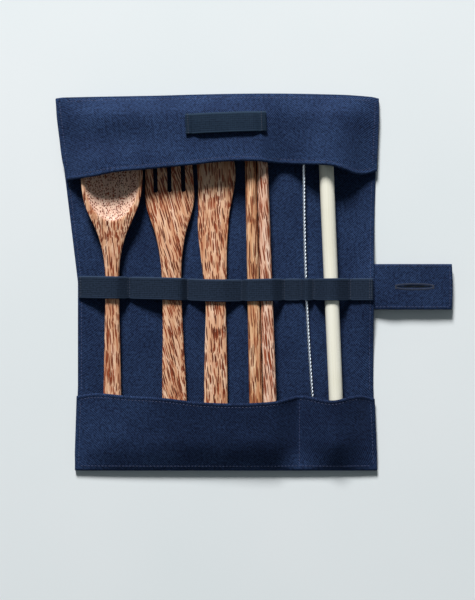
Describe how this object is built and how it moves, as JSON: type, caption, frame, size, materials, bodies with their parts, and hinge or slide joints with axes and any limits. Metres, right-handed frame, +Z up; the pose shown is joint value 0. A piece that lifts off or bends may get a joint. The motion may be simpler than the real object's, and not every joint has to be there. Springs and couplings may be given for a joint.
{
  "type": "cutlery wrap with wooden cutlery",
  "caption": "Cloth cutlery wrap lying open, with an elastic band, a closing tab, a carry loop, palm-wood cutlery, chopsticks, a straw and its wire brush.",
  "frame": {"origin": "middle of the footprint of the open wrap and its tab, on the surface that it lies on", "axes": "+X towards the closing tab, +Y towards the folded flap, +Z up"},
  "size_m": [0.254, 0.2406, 0.0168],
  "materials": {
    "navy_twill": "navy cotton twill, washed, matt",
    "navy_webbing": "dark navy ribbed elastic and webbing",
    "palm_wood": "oiled palm wood, tan with red-brown flecks along the grain",
    "cream_reed": "smooth pale cream cane",
    "twisted_steel": "bright twisted wire",
    "white_nylon": "fine white bristles"
  },
  "bodies": {
    "root": {"wrap_cloth": "navy_twill", "elastic_band": "navy_webbing", "carry_loop": "navy_webbing", "closing_tab": "navy_twill", "spoon": "palm_wood", "fork": "palm_wood", "knife": "palm_wood", "chopstick_left": "palm_wood", "chopstick_right": "palm_wood", "straw": "cream_reed", "brush_wire": "twisted_steel", "brush_bristles": "white_nylon"}
  },
  "joints": []
}
